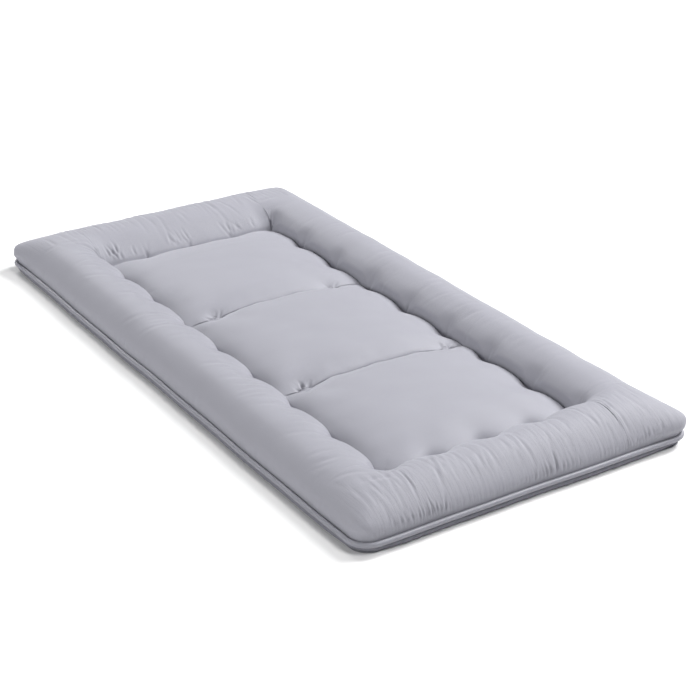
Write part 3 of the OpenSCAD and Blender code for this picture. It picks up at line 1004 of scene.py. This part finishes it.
def woven(name, colour, spread, thread, rough, sheen, depth, nap=0.35, twill=0.0, long=None):
    """A woven cloth. thread is the spacing of its yarns, depth how much the weave stands up,
    and spread how much its colour varies. The weave follows the cloth's own coordinates. With
    long, the length of the cloth, it is gathered at both ends."""
    look = Look(name)
    uv = look.node("UVMap", {}, uv_map="cloth").outputs[0]
    place = look.position()
    u, v = look.node("SeparateXYZ", {0: uv}).outputs[:2]
    k = 2 * math.pi / thread
    warp = look.math("MULTIPLY_ADD", u, k, look.math("MULTIPLY", v, k * twill))
    weft = look.math("MULTIPLY", v, k)
    weave = look.math("MULTIPLY", look.math("SINE", warp), look.math("SINE", weft))
    slubs = look.math("MULTIPLY_ADD", look.noise(uv, 260, 2.0, 0.6), 0.8, weave)
    height = look.math("MULTIPLY_ADD", look.noise(place, 900, 3.0, 0.7), nap, slubs)

    fine = look.noise(uv, 70, 4.0, 0.6)
    broad = look.math("MULTIPLY", look.noise(place, 4.5, 3.0, 0.55), 0.55)
    tone = look.math("MULTIPLY_ADD", fine, 0.45, look.math("MULTIPLY_ADD", weave, 0.06, broad))
    look.colour(tone, colour, 1 - spread, 1 + spread, (0.30, 0.70))
    soft = look.bump(look.noise(place, 38, 3.0, 0.55), 0.0010, 0.30)
    if long is not None:
        soft = fine_gathers(look, u, v, long, soft)
    look.set(Roughness=look.math("MULTIPLY_ADD", fine, 0.10, rough - 0.05),
             Specular_IOR_Level=0.35, Sheen_Weight=sheen, Sheen_Roughness=0.38,
             Sheen_Tint=(0.93, 0.93, 1.0, 1), Normal=look.bump(height, depth, 0.5, soft))
    return look.material


def fibrous(name, colour, scale, depth):
    """Loose fibre filling: soft, matt, and matted in streaks."""
    look = Look(name)
    place = look.position()
    stretched = look.node("Mapping", {"Scale": (1.0, 0.35, 1.6), "Vector": place}).outputs[0]
    tufts = look.noise(place, scale * 0.12, 4.0, 0.6)
    strands = look.noise(stretched, scale, 6.0, 0.75)
    look.colour(look.math("MULTIPLY_ADD", strands, 0.5, look.math("MULTIPLY", tufts, 0.5)),
                colour, 0.86, 1)
    look.set(Roughness=0.95, Specular_IOR_Level=0.15, Sheen_Weight=0.4, Sheen_Roughness=0.6,
             Normal=look.bump(strands, depth, 0.8, look.bump(tufts, depth * 3, 0.6)))
    return look.material


def twisted(name, colour, pitch, rough):
    """Thread or cord: fine strands that run round it at a slant."""
    look = Look(name)
    strands = look.node("TexWave", {"Vector": look.position(), "Scale": 0.314 / pitch,
                                    "Distortion": 1.2},
                        wave_type="BANDS", bands_direction="DIAGONAL").outputs["Fac"]
    look.colour(strands, colour, 0.72, 1)
    look.set(Roughness=rough, Normal=look.bump(strands, pitch * 0.3, 0.6))
    return look.material


PIPING = woven("piping", (0.255, 0.255, 0.29), 0.015, 0.00050, 0.36, 0.15, 0.00008, 0.2, 1.0)
# The side band is cut from the same cloth as the top, but its colour is made far darker: painted
# shade, for the shade the band lies in under the piping.
BAND_SHADE_PAINTED = woven("band_cloth", (0.175, 0.175, 0.205), 0.025, 0.00080, 0.68, 0.15, 0.00015)
BASE = woven("base_cloth", (0.34, 0.34, 0.38), 0.030, 0.00110, 0.80, 0.10, 0.00025)
WADDING = fibrous("wadding", (0.86, 0.86, 0.84), 420, 0.0005)
CORE = fibrous("core", (0.78, 0.74, 0.64), 300, 0.0008)
THREAD = twisted("thread", (0.34, 0.34, 0.38), 0.0008, 0.45)
PIPING_CORD = twisted("piping_cord", (0.74, 0.73, 0.70), 0.003, 0.85)

# ---- pieces ----


def place(piece, end, material, *nodes, fill=None, flat=None, area=None):
    """Gives a piece its material, bakes its placing into its points, and hides the frame's parts
    that it stands for.
    """
    piece.data.materials.append(material)
    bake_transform(piece)
    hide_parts(*nodes)


cover, knots_x, knots_y = make_cover()
cover_normals = normals_of(cover)
LOWEST = lowest_near(cover[..., 2], 4)
worn = settle(cover)
worn_normals = normals_of(worn)
rows, cols = cover.shape[:2]
cloth = np.stack(np.meshgrid(np.arange(cols) * STEP_X, np.arange(rows) * STEP_Y), axis=2)
TOP = woven("top_cloth", (0.300, 0.300, 0.339), 0.020, 0.00055, 0.60, 0.22, 0.00010,
            long=(rows - 1) * STEP_Y)
quad_area = np.linalg.norm(np.cross(worn[1:, :-1] - worn[:-1, :-1],
                                    worn[:-1, 1:] - worn[:-1, :-1]), axis=2)
STRETCH = 1.03                 # the cloth's area over the fillings, for each 1 that it was cut to
CLEAR = 4                      # grid lines that the fillings keep from a seam

for end in (-1, 1):
    name = "foot" if end < 0 else "head"
    mid, last = knots_y[3], rows - 1
    part = slice(0, mid + 1) if end < 0 else slice(mid, rows)
    top = grid_object(f"top_cover_{name}", worn[part], cloth[part], worn_normals[part])
    area = float(quad_area[part if end > 0 else slice(0, mid)].sum())
    place(top, end, TOP, f"{name}_top_cover", "middle_top_cover",
          flat=(cols * STEP_X, len(worn[part]) * STEP_Y), area=area / STRETCH)

    piping = swept(f"piping_sleeve_{name}", end, 0.0026, piping_profile, wrap=True)
    cord = swept(f"piping_cord_{name}", end, 0.0034, cord_profile, wrap=True)
    band = swept(f"side_band_{name}", end, 0.0024, band_profile)
    for piece, material, kind in ((piping, PIPING, "piping_sleeve"),
                                  (cord, PIPING_CORD, "piping_cord"), (band, BAND_SHADE_PAINTED, "side_band")):
        place(piece, end, material, f"{name}_{kind}", f"middle_{kind}_left", f"middle_{kind}_right")
    base = underside(f"bottom_cover_{name}", end)
    place(base, end, BASE, f"{name}_bottom_cover", "middle_bottom_cover", flat=(2 * HALF_W, HALF_L))

    whole = (0, mid) if end < 0 else (mid, last)
    beyond = (0, knots_y[1] - CLEAR) if end < 0 else (knots_y[5] + CLEAR, last)
    inside = (knots_y[1] + CLEAR, mid) if end < 0 else (mid, knots_y[5] - CLEAR)
    left, right = knots_x[1], knots_x[3]
    for kind, along, across, low, fill in (
            ("border_left", whole, (0, left - CLEAR), FILL_LOW, 0.7),
            ("border_right", whole, (right + CLEAR, cols - 1), FILL_LOW, 0.7),
            ("border_end", beyond, (left + 2, right - 2), FILL_LOW, 0.7),
            ("upper_wadding", inside, (left + CLEAR, right - CLEAR), CORE_HIGH.z + 0.0004, 0.6)):
        middle = () if kind == "border_end" else (f"middle_{kind}",)
        place(fitted_pad(f"{kind}_{name}", along, across, low), end, WADDING,
              f"{name}_{kind}", *middle, fill=fill)
    core = flat_pad(f"core_{name}", end, CORE_LOW.z, CORE_HIGH.z - 0.005, SEAM_X - 0.014,
                    (SEAM_HEAD if end > 0 else -SEAM_FOOT) - 0.014, 7, 0.010)
    place(core, end, CORE, f"{name}_core", "middle_core", fill=0.9)
    lower = flat_pad(f"lower_wadding_{name}", end, WADDING_LOW.z + 0.0008, WADDING_HIGH.z,
                     HALF_W - 0.0285, HALF_L - 0.0285, 9, 0.012)
    place(lower, end, WADDING, f"{name}_lower_wadding", "middle_lower_wadding", fill=0.5)

    tacks = tack_threads(f"tacks_{name}", worn, end)
    place(tacks, end, THREAD, f"{name}_tacks", "middle_tacks")
    quilting = quilt_threads(f"quilting_{name}", worn, end)
    place(quilting, end, THREAD, "middle_quilting_threads")

# ---- floor, light and camera ----

def make_stage():
    """A pale floor that goes over, far off, into a pale backdrop that only the camera sees."""
    look = Look("floor")
    distance = look.node("VectorMath", {0: look.position()}, operation="LENGTH").outputs["Value"]
    look.set(Base_Color=(0.93, 0.93, 0.93, 1), Roughness=0.9, Emission_Color=(1, 1, 1, 1),
             Emission_Strength=look.soft_step(distance, 4.0, 12.0, 0.0, 1.0))
    bpy.ops.mesh.primitive_plane_add(size=60, location=(0, 0, -0.001))
    floor = bpy.context.object
    floor.name = "floor"
    floor.data.materials.append(look.material)

    look = Look("backdrop")
    look.set(Base_Color=(0, 0, 0, 1), Emission_Color=(1, 1, 1, 1), Emission_Strength=1.0)
    bpy.ops.mesh.primitive_uv_sphere_add(segments=48, ring_count=24, radius=29, location=(0, 0, 0))
    backdrop = bpy.context.object
    backdrop.name = "backdrop"
    backdrop.data.materials.append(look.material)
    set_all(backdrop, visible_diffuse=False, visible_glossy=False, visible_transmission=False,
            visible_volume_scatter=False, visible_shadow=False)


# Where each light stands, how long and wide it is, and its power. All face the mattress.
LIGHTS = {
    "key": ((6.6, 0.2, 6.1), (4.2, 4.2), 1130),
    "left_fill": ((-8.4, 0, 3.0), (3.5, 2.5), 400),
    "front_fill": ((2.2, -5.3, 6.7), (3.5, 3.0), 340),
    "back_fill": ((0.2, 7.4, 5.2), (3.5, 3.0), 290),
    "top": ((0, 0, 9.0), (3.5, 3.5), 45),
}


def add(name, data, place, back):
    """Adds a light or a camera, with back as the direction from what it faces."""
    obj = bpy.data.objects.new(name, data)
    obj.location = place
    obj.rotation_euler = (-back).to_track_quat("-Z", "Y").to_euler()
    bpy.context.scene.collection.objects.link(obj)
    return obj


def light_and_camera():
    for name, (place, size, power) in LIGHTS.items():
        data = bpy.data.lights.new(name, "AREA")
        set_all(data, shape="RECTANGLE", size=size[0], size_y=size[1], energy=power)
        add(name, data, place, Vector(place))
    world = bpy.data.worlds.new("studio")
    world.use_nodes = True
    world.node_tree.nodes["Background"].inputs[0].default_value = (1, 1, 1, 1)
    world.node_tree.nodes["Background"].inputs[1].default_value = 0.02
    bpy.context.scene.world = world
    bpy.context.scene.view_settings.view_transform = "Standard"

    azimuth, elevation = math.radians(-32.82), math.radians(25.81)
    data = bpy.data.cameras.new("camera")
    set_all(data, sensor_width=36, lens=84.1, clip_start=0.05, clip_end=100)
    back = Vector((math.sin(azimuth) * math.cos(elevation),
                   -math.cos(azimuth) * math.cos(elevation), math.sin(elevation)))
    bpy.context.scene.camera = add("camera", data, (-2.1715, -3.5586, 2.0012), back)


make_stage()
light_and_camera()
